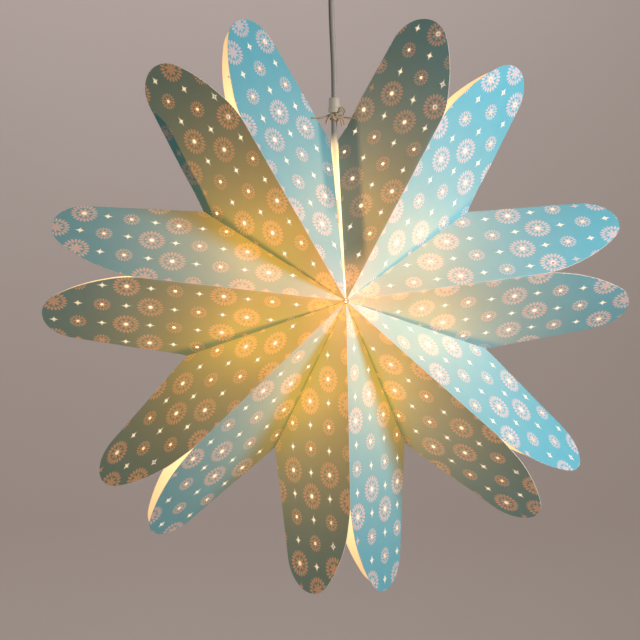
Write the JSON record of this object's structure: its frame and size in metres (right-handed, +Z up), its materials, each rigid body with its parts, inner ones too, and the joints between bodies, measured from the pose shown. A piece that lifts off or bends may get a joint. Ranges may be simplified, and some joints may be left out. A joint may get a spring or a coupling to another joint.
{
  "type": "paper star lantern",
  "caption": "Hanging paper star lantern: folded paper points with rounded, punched petals round a bulb and lampholder, on a cord from a ceiling cup.",
  "frame": {"origin": "on the ceiling face of the mounting bar, over the cord", "axes": "+Z up to the ceiling, printed front of the star faces -Y, +X to the right as seen from the front"},
  "size_m": [0.594, 0.1974, 0.6723],
  "materials": {
    "printed_paper": "matt printed paper, cream inside",
    "opal_glass": "opal, lit warm white",
    "nickel": "nickel plated",
    "brass": "plain",
    "white_plastic": "satin",
    "grey_plastic": "satin",
    "cord_sheath": "smooth sheath",
    "beige_plastic": "satin",
    "twine": "twisted string",
    "zinc_steel": "zinc plated"
  },
  "bodies": {
    "root": {"paper_point_1": "printed_paper", "paper_point_2": "printed_paper", "paper_point_3": "printed_paper", "paper_point_4": "printed_paper", "paper_point_5": "printed_paper", "paper_point_6": "printed_paper", "paper_point_7": "printed_paper", "bulb_globe": "opal_glass", "bulb_base": "nickel", "bulb_tip": "nickel", "holder_socket": "brass", "holder_contact": "brass", "holder_shell": "white_plastic", "holder_cap": "white_plastic", "holder_relief": "grey_plastic", "lamp_cord": "cord_sheath", "cord_stopper": "beige_plastic", "top_tie": "twine", "front_string": "twine", "back_string": "twine", "ceiling_cup": "white_plastic", "cup_relief": "grey_plastic", "relief_nut": "grey_plastic", "terminal_block": "white_plastic", "mounting_bar": "zinc_steel", "cup_screws": "zinc_steel"}
  },
  "joints": []
}
